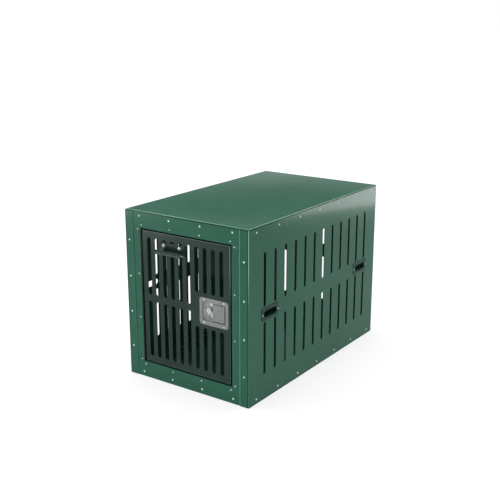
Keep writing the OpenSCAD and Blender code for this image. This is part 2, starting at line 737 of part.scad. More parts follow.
// Coil spring behind the bolt, swept along a helix with flat-ended turns
spring_r = 3.2;
spring_wire = 0.6;
spring_turns = 7;
spring_steps = 10;
spring_sides = 6;
spring_len = bolt_end_x + 3 - case_end_x - case_wall;
spring_rings = spring_turns * spring_steps;
function spring_point(i, j) =
    let (
        a = 360 * i / spring_steps,
        b = 360 * j / spring_sides,
        r = spring_r + spring_wire * cos(b),
        x = spring_wire + 0.05 + (spring_len - 2 * spring_wire - 0.1) * i / spring_rings
    )
    [x + spring_wire * sin(b), r * cos(a), r * sin(a)];
module bolt_spring() {
    points = [for (i = [0:spring_rings], j = [0:spring_sides - 1]) spring_point(i, j)];
    n = spring_sides;
    sides = [for (i = [0:spring_rings - 1], j = [0:n - 1]) each [
        [i * n + j, i * n + (j + 1) % n, (i + 1) * n + j],
        [i * n + (j + 1) % n, (i + 1) * n + (j + 1) % n, (i + 1) * n + j]
    ]];
    last = spring_rings * n;
    ends = [for (j = [1:n - 2]) each [[0, j + 1, j], [last, last + j, last + j + 1]]];
    color("silver") at_latch() translate([case_end_x + case_wall, bolt_y + bolt_t / 2, 0])
        polyhedron(points, concat(sides, ends));
}

// Key cylinder in the recess, its nut behind the pan, the turning plug and its cam
module key_cylinder() {
    color("silver") at_latch() translate([cylinder_x, 0, 0]) rotate([-90, 0, 0]) difference() {
        union() {
            translate([0, 0, cylinder_face]) cylinder(r = cylinder_r, h = cylinder_back - cylinder_face);
            translate([0, 0, pan_depth - pan_t - 2]) cylinder(r = cylinder_r + 2.5, h = 2);
        }
        translate([0, 0, cylinder_face - cut_over])
            cylinder(r = plug_r + running_clear, h = cylinder_back - cylinder_face + 2 * cut_over);
    }
}
module cylinder_nut() {
    color("silver") at_latch() translate([cylinder_x, pan_depth, 0]) rotate([-90, 0, 0]) difference() {
        cylinder(r = cylinder_r + 4, h = nut_t, $fn = 6);
        translate([0, 0, -cut_over]) cylinder(r = cylinder_r + seat_clear, h = nut_t + 2 * cut_over);
    }
}
module key_plug() {
    key_w = 1.4;
    key_h = 8;
    color("silver") at_latch() translate([cylinder_x, 0, 0]) rotate([-90, 0, 0]) difference() {
        union() {
            translate([0, 0, cylinder_face - plug_proud])
                cylinder(r = plug_r, h = cylinder_back - cylinder_face + 2 * plug_proud);
            translate([0, 0, cylinder_back]) cylinder(r = plug_r - 2.5, h = cam_t + 2);
        }
        translate([-key_w / 2, -key_h / 2, cylinder_face - cut_over]) cube([key_w, key_h, 12]);
    }
}
module lock_cam() {
    cam_len = 26;
    cam_w = 12;
    color("silver") at_latch() translate([cylinder_x, cylinder_back + plug_proud, 0]) rotate([-90, 0, 0])
        difference() {
            linear_extrude(cam_t) union() {
                circle(plug_r + 1.5);
                translate([-cam_w / 2, 0]) square([cam_w, cam_len]);
            }
            translate([0, 0, -cut_over])
                cylinder(r = plug_r - 2.5 + running_clear, h = cam_t + 2 * cut_over);
        }
}

// J-shaped pull on the door's face, clamped through two slots by bolts, wide washers and nuts
module pull_section() {
    back_z = pull_r;
    translate([-pull_t, back_z]) square([pull_t, pull_back_h]);
    translate([-2 * pull_r, back_z]) square([pull_t, pull_lip_h]);
    translate([-pull_r, back_z]) difference() {
        circle(pull_r);
        circle(pull_r - pull_t);
        translate([-2 * pull_r, 0]) square(4 * pull_r);
    }
}
module at_pull_bolts() {
    for (s = [-1, 1])
        translate([pull_x + s * door_slot_pitch, door_y, pull_bolt_z]) rotate([90, 0, 0]) children();
}
module door_pull() {
    color("dimgray") difference() {
        translate([pull_x - pull_w / 2, door_y, pull_top - pull_r - pull_back_h])
            rotate([90, 0, 90]) linear_extrude(pull_w) pull_section();
        at_pull_bolts() translate([0, 0, -cut_over])
            cylinder(r = pull_bolt_r + seat_clear, h = pull_t + 2 * cut_over);
    }
}
washer_t = 1.6;
pull_nut_t = 6.5;
washer_r = door_slot_w / 2 + 3;
head_washer_r = 2 * pull_bolt_r + 0.5;
module door_pull_bolts() {
    head_r = 1.75 * pull_bolt_r;
    head_h = 1.1 * pull_bolt_r;
    dome_r = (head_r * head_r + head_h * head_h) / (2 * head_h);
    color("gainsboro") at_pull_bolts() translate([0, 0, pull_t + washer_t]) rotate_extrude() {
        intersection() {
            translate([0, head_h - dome_r]) circle(dome_r);
            square([head_r, head_h]);
        }
        shank = pull_t + 2 * washer_t + sheet_t + pull_nut_t + 2;
        translate([0, -shank]) square([pull_bolt_r, shank + head_h / 2]);
    }
}
module washer(r) {
    difference() {
        cylinder(r = r, h = washer_t);
        translate([0, 0, -cut_over])
            cylinder(r = pull_bolt_r + seat_clear, h = washer_t + 2 * cut_over);
    }
}
module door_pull_washers() {
    color("gainsboro") at_pull_bolts() {
        translate([0, 0, pull_t]) washer(head_washer_r);
        translate([0, 0, -sheet_t - washer_t]) washer(washer_r);
    }
}
module door_pull_nuts() {
    color("gainsboro") at_pull_bolts() translate([0, 0, -sheet_t - washer_t - pull_nut_t]) difference() {
        cylinder(r = 1.9 * pull_bolt_r, h = pull_nut_t, $fn = 6);
        translate([0, 0, -cut_over])
            cylinder(r = pull_bolt_r + seat_clear, h = pull_nut_t + 2 * cut_over);
    }
}

left_side_panel();
right_side_panel();
front_panel();
back_panel();
top_panel();
floor_panel();
top_door_stop();
bottom_door_stop();
latch_door_stop();
strike_plate();
strike_screws();
left_side_rivets();
right_side_rivets();
front_flange_rivets();
rear_flange_rivets();
front_panel_rivets();
back_panel_rivets();
door_stop_rivets();
hinge_frame_leaf();
hinge_frame_rivets();
hinge_pin();
front_left_hand_grip();
rear_left_hand_grip();
front_right_hand_grip();
rear_right_hand_grip();
hand_grip_rivets();
door_panel();
hinge_door_leaf();
hinge_door_rivets();
latch_pan();
latch_rivets();
paddle_pin();
bolt_case();
bolt_spring();
key_cylinder();
cylinder_nut();
latch_paddle();
latch_bolt();
key_plug();
lock_cam();
door_pull();
door_pull_bolts();
door_pull_washers();
door_pull_nuts();
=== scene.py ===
import bmesh
import bpy
import json
import math
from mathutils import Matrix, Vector


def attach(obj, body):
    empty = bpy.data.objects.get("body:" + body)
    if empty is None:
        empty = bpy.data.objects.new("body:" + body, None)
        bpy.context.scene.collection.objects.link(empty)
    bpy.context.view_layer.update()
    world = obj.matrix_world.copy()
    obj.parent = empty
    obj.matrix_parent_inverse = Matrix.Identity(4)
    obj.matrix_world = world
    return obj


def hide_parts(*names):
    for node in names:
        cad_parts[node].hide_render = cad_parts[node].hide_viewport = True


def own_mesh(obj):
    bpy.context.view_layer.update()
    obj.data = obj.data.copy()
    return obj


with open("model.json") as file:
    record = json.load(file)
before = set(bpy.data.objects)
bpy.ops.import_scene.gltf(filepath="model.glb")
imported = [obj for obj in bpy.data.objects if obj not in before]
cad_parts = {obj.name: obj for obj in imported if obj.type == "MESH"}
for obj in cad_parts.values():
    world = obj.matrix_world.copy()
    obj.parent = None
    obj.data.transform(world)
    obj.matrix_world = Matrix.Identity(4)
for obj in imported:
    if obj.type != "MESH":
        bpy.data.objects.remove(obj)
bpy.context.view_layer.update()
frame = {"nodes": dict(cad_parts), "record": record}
nodes = frame["nodes"]
scene = bpy.context.scene
scene.view_settings.view_transform = "Standard"
print("frame loaded,", len(nodes), "nodes")

millimetre = 0.001
weld = 1e-6  # corners closer than this are one corner


def boxOf(name):  # low and high corner of a CAD node
    columns = list(zip(*nodes[name].bound_box))
    return [Vector([pick(column) for column in columns]) for pick in (min, max)]


def fromEdge(edge, *steps):  # places in metres, so many millimetres past an edge
    return [edge + step * millimetre for step in steps]


class Wire:  # one socket, so that shader and geometry maths can be written as expressions
    def __init__(self, maker, socket):
        self.maker, self.socket = maker, socket

    def join(self, operation, first, second=0.0):
        return self.maker.node("ShaderNodeMath", {"operation": operation}, {0: first, 1: second})

    def __add__(self, other):
        return self.join("ADD", self, other)

    def __sub__(self, other):
        return self.join("SUBTRACT", self, other)

    def __rsub__(self, other):
        return self.join("SUBTRACT", other, self)

    def __mul__(self, other):
        return self.join("MULTIPLY", self, other)

    def __truediv__(self, other):
        return self.join("DIVIDE", self, other)

    __radd__, __rmul__ = __add__, __mul__

    def atLeast(self, other):
        return self.join("MAXIMUM", self, other)

    def atMost(self, other):
        return self.join("MINIMUM", self, other)

    def cosine(self):
        return self.join("COSINE", self)

    def sine(self):
        return self.join("SINE", self)

    def fraction(self):
        return self.join("FRACT", self)

    def size(self):
        return self.join("ABSOLUTE", self)


class NodeMaker:  # adds nodes to one tree: settings first, then values or links
    def __init__(self, tree):
        self.tree = tree

    def node(self, kind, settings=None, values=None, out=0):
        made = self.tree.nodes.new(kind)
        for key, value in (settings or {}).items():
            if key == "curve":
                points = made.mapping.curves[0].points
                while len(points) < len(value):
                    points.new(0.5, 0.5)
                for point, place in zip(points, value):
                    point.location = place
                    point.handle_type = "VECTOR"
                made.mapping.update()
            else:
                setattr(made, key, value)
        for key, value in (values or {}).items():
            for one in value if isinstance(value, list) else [value]:
                if isinstance(one, Wire):
                    self.tree.links.new(one.socket, made.inputs[key])
                else:
                    made.inputs[key].default_value = one
        return Wire(self, made.outputs[out]) if made.outputs else None

    def parts(self, vector):
        split = self.node("ShaderNodeSeparateXYZ", {}, {0: vector})
        return [Wire(self, out) for out in split.socket.node.outputs]

    def ramp(self, value, low, high, start=0.0):  # start below low, 1 above high
        return self.node("ShaderNodeMapRange", {"interpolation_type": "SMOOTHSTEP"}, {
            0: value, 1: low, 2: high, 3: start, 4: 1.0})

    def band(self, value, rise, fall):  # 1 from the rise to the fall, 0 outside them
        return self.ramp(value, *rise) * (1 - self.ramp(value, *fall))


def srgb(red, green, blue):  # colour as read on a screen, 0 to 255, as a linear colour
    def linear(level):
        level /= 255
        return level / 12.92 if level <= 0.04045 else ((level + 0.055) / 1.055) ** 2.4
    return (linear(red), linear(green), linear(blue), 1.0)


class Finish(NodeMaker):  # a material: its tree, its shader and the patterns that the finishes share
    def __init__(self, name):
        self.material = bpy.data.materials.new(name)
        self.material.use_nodes = True
        super().__init__(self.material.node_tree)
        self.shader = next(n for n in self.tree.nodes if n.type == "BSDF_PRINCIPLED")
        self.place = self.node("ShaderNodeTexCoord", out="Object")
        self.normal = Wire(self, self.place.socket.node.outputs["Normal"])

    def noise(self, scale, detail=2.0, roughness=0.5, stretch=None):
        place = self.place
        if stretch:
            place = self.node("ShaderNodeMapping", {}, {"Vector": place, "Scale": stretch})
        return self.node("ShaderNodeTexNoise", {}, {
            "Vector": place, "Scale": scale, "Detail": detail, "Roughness": roughness})

    def blend(self, factor, first, second):
        return self.node("ShaderNodeMix", {"data_type": "RGBA"}, {0: factor, 6: first, 7: second}, out=2)

    def vector(self, operation, first, second=(0, 0, 0), out="Vector"):
        return self.node("ShaderNodeVectorMath", {"operation": operation}, {0: first, 1: second}, out)

    def edges(self, radius):  # rounded normal at edges, and a mask of where it turns away from the flat face
        rounded = self.node("ShaderNodeBevel", {"samples": 6}, {"Radius": radius})
        flat = self.node("ShaderNodeNewGeometry", out="Normal")
        along = self.vector("DOT_PRODUCT", rounded, flat, out="Value")
        return rounded, self.ramp(1 - along, 0.02, 0.35)  # full from about 50 degrees

    def bump(self, height, strength, distance, normal):
        return self.node("ShaderNodeBump", {}, {
            "Height": height, "Strength": strength, "Distance": distance, "Normal": normal})

    def put(self, **sockets):
        for key, value in sockets.items():
            socket = self.shader.inputs[key.replace("_", " ")]
            if isinstance(value, Wire):
                self.tree.links.new(value.socket, socket)
            else:
                socket.default_value = value
        return self.material


# what all the coats share: noise scales to the metre, levels between which a pattern fades in, shares of
# painted highlight
coatPattern = {
    "cloudScale": 2.6,
    "patchScale": 19.0,
    "grainScale": 3.6,  # to one of the peel
    "toneLevels": (0.36, 0.64),
    "fleckLevels": (0.62, 0.78),
    "patchLevels": (0.30, 0.62),
    "foldLevels": (0.35, 0.62),
    "cutLevels": (0.3, 0.7),
    "flangeHighlight": 0.4,
    "uprightHighlight": 1.0,
    "lowShare": 0.15,  # of the painted highlight on upright bends, near the floor
    "leftShare": 0.25,  # of the painted highlight on the flanges' lips, on the left
}
bodyCoat = {
    **coatPattern,
    "colour": srgb(47, 96, 78),
    "shade": srgb(43, 91, 73),
    # pale colour of the flecks, and of the painted highlight on bends, flange edges and lips
    "edge": srgb(136, 186, 166),
    "fleck": 0.18,
    "roughness": 0.09,
    "specular": 0.095,
    "peelScale": 340,
    "peelDepth": 0.004,
    "edgeRadius": 2.0,  # millimetres
    "rimWear": 0.10,
    "lyingHighlight": 0.6,
    # painted shade: dark colour laid in the seam under the top, the crease beside each flange and the slots'
    # cut faces
    "shadowColour": srgb(10, 23, 18),
    "seamShade": 0.8,
    "creaseShade": 0.8,
    "cutShade": 1.0,
    "foldShade": 0.0,
}
doorCoat = {
    **coatPattern,
    "colour": srgb(33, 54, 47),
    "shade": srgb(28, 46, 40),
    # pale colour of the flecks, and of the painted highlight on the door's folds
    "edge": srgb(158, 190, 178),
    "fleck": 0.09,
    "roughness": 0.20,
    "specular": 0.17,
    "peelScale": 420,
    "peelDepth": 0.04,
    "edgeRadius": 1.0,  # millimetres
    "rimWear": 0.18,
    "lyingHighlight": 0.45,
    # painted shade: dark colour laid on the door's folded returns, in its gap
    "shadowColour": srgb(7, 12, 10),
    "seamShade": 0.0,
    "creaseShade": 0.0,
    "cutShade": 0.0,
    "foldShade": 0.9,
}
pullCoat = {
    **doorCoat,
    # pale colour of the flecks, and of the painted highlight on the pull's folds
    "edge": srgb(110, 134, 124),
    "fleck": 0.18,
    "rimWear": 0.35,
    "lyingHighlight": 0.2,
    "foldShade": 0.0,
}
# the hinge leaves in a near-black version of the door coat
hingeCoat = {
    **doorCoat,
    "colour": srgb(15, 24, 21),
    "shade": srgb(11, 18, 16),
    "edge": srgb(44, 58, 52),
    "foldShade": 0.0,
}
wallLow, wallHigh = boxOf("right_side_panel")
wallPlaces = {  # where painted highlight and painted shade go on the walls' coat; both walls and both ends are alike
    "flangeFace": fromEdge(wallHigh.y, -1.5, -0.5),
    "flangeStart": fromEdge(wallLow.x, -2.0, -1.0),
    "lipEnd": fromEdge(wallLow.x, 0.5, 4.5),
    "creaseStart": fromEdge(wallHigh.x, -7.5, -6.0),
    "creaseEnd": fromEdge(wallHigh.x, -4.5, -3.0),
    "wallFace": fromEdge(wallHigh.x, -2.8, -2.4),
    "slotsEnd": fromEdge(wallHigh.y, -23.0, -18.0),
    "seamStart": fromEdge(wallHigh.z, -3.0, -1.5),
    "seamEnd": fromEdge(wallHigh.z, 0.5, 2.0),
    "bendsLit": (0.38, 0.58),  # height at which the painted highlight on upright bends grows
    "lipsLit": (-0.1, 0.1),  # painted highlight on the lips, from the left half to the right half
}


def powderCoat(name, look):
    coat = Finish(name)
    cloud = coat.noise(look["cloudScale"], detail=3.0)
    patch = coat.noise(look["patchScale"])
    peel = coat.noise(look["peelScale"], roughness=0.55)
    grain = coat.noise(look["peelScale"] * look["grainScale"], detail=1.0)
    rounded, edge = coat.edges(look["edgeRadius"] * millimetre)
    mottle = coat.ramp(0.65 * cloud + 0.35 * patch, *look["toneLevels"])
    tone = coat.blend(mottle, look["shade"], look["colour"])
    flecked = coat.blend(coat.ramp(grain, *look["fleckLevels"]) * look["fleck"], tone, look["edge"])

    right, back, level = coat.parts(coat.place)
    sideways, depth = right.size(), back.size()
    across, inward, upward = [part * part for part in coat.parts(coat.normal)]
    flange = coat.ramp(depth, *wallPlaces["flangeFace"]) * coat.ramp(sideways, *wallPlaces["flangeStart"])
    lip = flange * (1 - coat.ramp(sideways, *wallPlaces["lipEnd"]))
    lip = lip * coat.ramp(right, *wallPlaces["lipsLit"], look["leftShare"])
    upright = across * inward * coat.ramp(level, *wallPlaces["bendsLit"], look["lowShare"])
    lying = upward * (across + inward)
    rim = look["rimWear"] * coat.ramp(patch, *look["patchLevels"])
    # painted highlight on flange edges, lips and bends in the pale edge colour, with real wear at random
    # patches along the rims
    wearAndHighlight = edge * (rim + look["flangeHighlight"] * flange) + look["flangeHighlight"] * lip
    # upright and lying are 1/4 half-way round a bend, and 0 on flat faces
    wearAndHighlight = wearAndHighlight + 4 * (upright * look["uprightHighlight"] + lying * look["lyingHighlight"])

    # painted shade: dark lines along the seam under the top and the crease beside each flange, on the door's
    # folded returns and on the slots' cut faces
    shadedSeam = coat.band(level, wallPlaces["seamStart"], wallPlaces["seamEnd"]) * look["seamShade"]
    shadedCrease = coat.band(sideways, wallPlaces["creaseStart"], wallPlaces["creaseEnd"])
    shadedCrease = flange * shadedCrease * look["creaseShade"]
    shadedFold = coat.ramp(across.atLeast(upward), *look["foldLevels"]) * look["foldShade"]
    slotted = coat.ramp(sideways, *wallPlaces["wallFace"]) * (1 - coat.ramp(depth, *wallPlaces["slotsEnd"]))
    cut = slotted * coat.ramp(inward, *look["cutLevels"]).atLeast(edge) * look["cutShade"]
    wearAndHighlight = (wearAndHighlight * (1 - shadedFold) * (1 - cut)).atMost(1.0)
    shadedTone = coat.blend((shadedSeam + shadedCrease + shadedFold + cut).atMost(1.0), flecked, look["shadowColour"])
    return coat.put(
        Base_Color=coat.blend(wearAndHighlight, shadedTone, look["edge"]),
        Roughness=look["roughness"] + 0.05 * (cloud - 0.5) + 0.08 * (peel - 0.5),
        Specular_IOR_Level=look["specular"],
        Normal=coat.bump(peel + 0.35 * grain, look["peelDepth"], 0.6 * millimetre, rounded))


stainlessLook = {
    "colour": srgb(128, 133, 132),
    "dark": srgb(117, 122, 121),
    "roughness": 0.34,
    "brushing": (9.0, 620.0, 620.0),
    "brushDepth": 0.02,
}
panLow, panHigh = boxOf("latch_pan")
panLook = {
    **stainlessLook,
    # middle of the dish's open side
    "mouth": ((panLow.x + panHigh.x) / 2, panLow.y - 0.5 * millimetre, (panLow.z + panHigh.z) / 2),
    "dish": fromEdge(panLow.y, 2.0, 5.0),  # how far behind the flange's face the painted light in the dish begins
    # painted light: pale colours that lift the shade inside the dish, mixed in cloudy stains
    "dishLitColour": srgb(228, 231, 232),
    "dishLitStain": srgb(190, 193, 194),
    "stainScale": 95.0,
    "bendStart": fromEdge(panLow.y, 0.3, 1.0),
    "bendEnd": fromEdge(panLow.y, 4.0, 5.5),
    # painted shade along the dish's bend
    "bendShade": srgb(26, 28, 28),
}
paddleLook = {
    "colour": srgb(128, 130, 130),
    "dark": srgb(121, 123, 123),
    "roughness": 0.38,
    "brushing": (620.0, 620.0, 9.0),
    "brushDepth": 0.02,
    # painted shade on the paddle's folded edges
    "foldShade": srgb(70, 72, 72),
}
platedLook = {
    "colour": srgb(214, 216, 214),
    "dark": srgb(176, 178, 176),
    "roughness": 0.24,
    "brushing": (260.0, 260.0, 260.0),
    "brushDepth": 0.04,
}
rivetLook = {
    "colour": srgb(232, 252, 243),
    "dark": srgb(196, 220, 210),
    "metallic": 0.55,
    "roughness": 0.24,
    "brushing": (11.0, 11.0, 11.0),
    "brushDepth": 0.02,
    # painted shade round the head's skirt
    "rim": srgb(58, 84, 73),
}
latchRivetLook = {
    "colour": srgb(246, 248, 247),
    "dark": srgb(224, 228, 226),
    "roughness": 0.20,
    "brushing": (260.0, 260.0, 260.0),
    "brushDepth": 0.02,
    # painted shade round the head's skirt
    "rim": srgb(112, 117, 116),
}


def dishLitAndStained(metal, look, tone):  # painted light: pale inside the pressed dish, in cloudy stains; painted shade along its bend
    depth = metal.parts(metal.place)[1]
    toMouth = metal.vector("SUBTRACT", look["mouth"], metal.place)
    inside = metal.ramp(metal.vector("DOT_PRODUCT", toMouth, metal.normal, out="Value"), 0.0, 2 * millimetre)
    deep = metal.ramp(depth, *look["dish"]) * inside
    cloudy = metal.ramp(metal.noise(look["stainScale"], 3.0, 0.6), 0.40, 0.60)
    litStained = metal.blend(deep, tone, metal.blend(cloudy, look["dishLitStain"], look["dishLitColour"]))
    bend = metal.band(depth, look["bendStart"], look["bendEnd"])
    return metal.blend(bend * 0.8, litStained, look["bendShade"]), 1 - 0.6 * deep


def bareMetal(name, look):
    metal = Finish(name)
    lines = metal.noise(1.0, 3.0, 0.65, look["brushing"])
    smear = metal.noise(24.0)
    speck = metal.noise(900.0, detail=1.0)
    rounded, edge = metal.edges(0.6 * millimetre)
    across, inward, upward = [part.size() for part in metal.parts(metal.normal)]
    tone = metal.blend(metal.ramp(0.7 * lines + 0.3 * smear, 0.34, 0.66), look["dark"], look["colour"])
    metallic = look.get("metallic", 1.0)
    if "dish" in look:
        tone, metallic = dishLitAndStained(metal, look, tone)
    if "foldShade" in look:  # painted shade on folded edges
        tone = metal.blend(metal.ramp(across.atLeast(upward), 0.45, 0.80), tone, look["foldShade"])
    if "rim" in look:  # painted shade round the skirt, where the head turns away from the panel
        tone = metal.blend(metal.ramp(across.atLeast(inward).atLeast(upward), 0.58, 0.80), look["rim"], tone)
    else:
        tone = metal.blend(edge * 0.4, tone, look["colour"])
    return metal.put(
        Base_Color=tone,
        Metallic=metallic,
        Roughness=(look["roughness"] + 0.20 * (lines - 0.5) + 0.16 * (smear - 0.5)).atLeast(0.08),
        Normal=metal.bump(lines + 0.2 * speck, look["brushDepth"], 0.4 * millimetre, rounded))


gripLook = {
    "colour": srgb(34, 58, 49),
    "worn": srgb(66, 92, 81),
    "roughness": 0.46,
    "specular": 0.10,
    "grain": 700.0,
}


def mouldedRim(name, look):
    rim = Finish(name)
    grain = rim.noise(look["grain"], 2.0, 0.6)
    cloud = rim.noise(30.0)
    rounded, edge = rim.edges(1.2 * millimetre)
    tone = rim.blend(rim.ramp(cloud, 0.3, 0.7) * 0.25 + edge * 0.5, look["colour"], look["worn"])
    return rim.put(
        Base_Color=tone,
        Roughness=look["roughness"] + 0.18 * (grain - 0.5) - 0.12 * edge,
        Specular_IOR_Level=look["specular"],
        Normal=rim.bump(grain, 0.16, 0.4 * millimetre, rounded))


finishes = {
    "body_coat": powderCoat("greenPowderCoat", bodyCoat),
    "door_coat": powderCoat("greyPowderCoat", doorCoat),
    "grip_coat": mouldedRim("mouldedGrip", gripLook),
    "stainless": bareMetal("brushedStainless", stainlessLook),
    "plated_steel": bareMetal("zincPlate", platedLook),
    "bare_rivet": bareMetal("bareAluminium", rivetLook),
}
hingeBlack = powderCoat("hingeCoat", hingeCoat)
ownFinishes = {
    "hinge_frame_leaf": hingeBlack,
    "hinge_door_leaf": hingeBlack,
    "door_pull": powderCoat("pullCoat", pullCoat),
    "latch_pan": bareMetal("pressedStainless", panLook),
    "latch_paddle": bareMetal("satinStainless", paddleLook),
    "latch_rivets": bareMetal("cleanAluminium", latchRivetLook),
}
slotOf = {part["node"]: part["material_slot"] for part in frame["record"]["subparts"]}
bodyOf = {name: body for body, names in frame["record"]["behaviour"]["bodies"].items() for name in names}
for name, slotName in slotOf.items():
    mesh = nodes[name].data
    mesh.materials.clear()
    mesh.materials.append(ownFinishes.get(name, finishes[slotName]))
print("finishes on the sheet metal, latch and fasteners")


class Recipe(NodeMaker):  # a Geometry Nodes tree: named sizes in, one finished piece out
    def __init__(self, name, *sizes):
        super().__init__(bpy.data.node_groups.new(name, "GeometryNodeTree"))
        ports = self.tree.interface
        ports.new_socket("places", in_out="INPUT", socket_type="NodeSocketGeometry")
        self.keys = {key: ports.new_socket(key, in_out="INPUT", socket_type="NodeSocketFloat").identifier
                     for key in sizes}
        self.keys["finish"] = ports.new_socket(
            "finish", in_out="INPUT", socket_type="NodeSocketMaterial").identifier
        ports.new_socket("piece", in_out="OUTPUT", socket_type="NodeSocketGeometry")
        self.given = self.node("NodeGroupInput").socket.node

    def size(self, key):
        return Wire(self, self.given.outputs[key])

    def table(self, along, column):  # value that runs through evenly spaced points
        last = len(column) - 1
        return self.node("ShaderNodeFloatCurve", {"curve": [(i / last, v) for i, v in enumerate(column)]}, {
            "Factor": 1.0, "Value": along})

    def lathe(self, rows, sides, outline):  # grid wound round z; outline gives radius and height along it
        sheet = self.node("GeometryNodeMeshGrid", {}, {
            "Size X": 1.0, "Size Y": 1.0, "Vertices X": rows, "Vertices Y": sides + 1})
        flatX, flatY, _ = self.parts(self.node("GeometryNodeInputPosition"))
        turn = (flatY + 0.5) * math.tau
        radius, height = outline(flatX + 0.5, turn)
        place = self.node("ShaderNodeCombineXYZ", {}, {
            0: radius * turn.cosine(), 1: radius * turn.sine(), 2: height})
        wound = self.node("GeometryNodeSetPosition", {}, {"Geometry": sheet, "Position": place})
        return self.node("GeometryNodeMergeByDistance", {}, {"Geometry": wound, "Distance": weld})

    def shifted(self, geometry, height):
        place = self.node("ShaderNodeCombineXYZ", {}, {2: height})
        return self.node("GeometryNodeTransform", {}, {"Geometry": geometry, "Translation": place})

    def cut(self, operation, first, second):
        if operation == "DIFFERENCE":
            values = {"Mesh 1": first, "Mesh 2": second}
        else:
            values = {"Mesh 2": [first, second]}
        return self.node("GeometryNodeMeshBoolean", {"operation": operation, "solver": "EXACT"}, values)

    def prism(self, sides, radius, depth):
        return self.node("GeometryNodeMeshCylinder", {}, {
            "Vertices": sides, "Radius": radius, "Depth": depth})

    def thread(self, height, turn, pitch):  # depth of a helical groove: 0 at the crest, 1 at the root
        return ((height / pitch + turn / math.tau).fraction() - 0.5).size() * 2.0

    def strewn(self, shape, spread=0.0):  # one copy at each place, its z along the place's facing
        facing = self.node(
            "GeometryNodeInputNamedAttribute", {"data_type": "FLOAT_VECTOR"}, {"Name": "facing"})
        turned = self.node("FunctionNodeAlignRotationToVector", {"axis": "Z"}, {"Vector": facing})
        size = self.node("FunctionNodeRandomValue", {"data_type": "FLOAT"}, {
            2: 1.0 - spread, 3: 1.0, "Seed": 7}, out=1)
        return self.node("GeometryNodeInstanceOnPoints", {}, {
            "Points": self.size("places"), "Instance": shape, "Rotation": turned,
            "Scale": self.node("ShaderNodeCombineXYZ", {}, {0: size, 1: size, 2: size})})

    def close(self, geometry):
        whole = self.node("GeometryNodeRealizeInstances", {}, {0: geometry})
        dressed = self.node("GeometryNodeSetMaterial", {}, {
            "Geometry": whole, "Material": self.size("finish")})
        self.node("NodeGroupOutput", {}, {0: dressed})
        return self


def islands(name):  # low and high corner of each separate solid in a node
    solid = bmesh.new()
    solid.from_mesh(nodes[name].data)
    bmesh.ops.remove_doubles(solid, verts=solid.verts, dist=weld)
    left, found = set(solid.verts), []
    while left:
        reach = [left.pop()]
        corner = [reach[0].co.copy(), reach[0].co.copy()]
        while reach:
            vert = reach.pop()
            for axis in range(3):
                corner[0][axis] = min(corner[0][axis], vert.co[axis])
                corner[1][axis] = max(corner[1][axis], vert.co[axis])
            for edge in vert.link_edges:
                other = edge.other_vert(vert)
                if other in left:
                    left.remove(other)
                    reach.append(other)
        found.append(corner)
    solid.free()
    return sorted(found, key=lambda pair: tuple(round(v, 5) for v in pair[0]))


def onAxis(box, axis, share):  # a place on a box's middle line: 0 at its low end, 1 at its high end
    low, high = box
    place = (low + high) / 2
    place[axis] = low[axis] + (high[axis] - low[axis]) * share
    return place


sharpAngle = 38  # degrees; edges that turn more than this stay sharp


def grow(recipe, name, node, sizes, places, facings):  # puts a recipe's mesh in a CAD node's place
    mesh = bpy.data.meshes.new(name)
    mesh.from_pydata(places, [], [])
    mark = mesh.attributes.new("facing", "FLOAT_VECTOR", "POINT")
    for row, facing in zip(mark.data, facings):
        row.vector = facing
    seed = bpy.data.objects.new(name + "Places", mesh)
    scene.collection.objects.link(seed)
    modifier = seed.modifiers.new("grow", "NODES")
    modifier.node_group = recipe.tree
    for key, value in sizes.items():
        modifier[recipe.keys[key]] = float(value)
    modifier[recipe.keys["finish"]] = ownFinishes.get(node, finishes[slotOf[node]])
    grown = bpy.data.meshes.new_from_object(seed.evaluated_get(bpy.context.evaluated_depsgraph_get()))
    seed.modifiers.remove(modifier)
    bpy.data.objects.remove(seed)
    solid = bmesh.new()
    solid.from_mesh(grown)
    bmesh.ops.recalc_face_normals(solid, faces=solid.faces)
    openEdges = sum(not edge.is_manifold for edge in solid.edges)
    solid.to_mesh(grown)
    solid.free()
    grown.polygons.foreach_set("use_smooth", [True] * len(grown.polygons))
    grown.set_sharp_from_angle(angle=math.radians(sharpAngle))
    piece = bpy.data.objects.new(name, grown)
    scene.collection.objects.link(piece)
    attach(piece, bodyOf[node])
    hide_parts(node)
    print(name, len(grown.polygons), "faces,", openEdges, "open edges")
    return piece


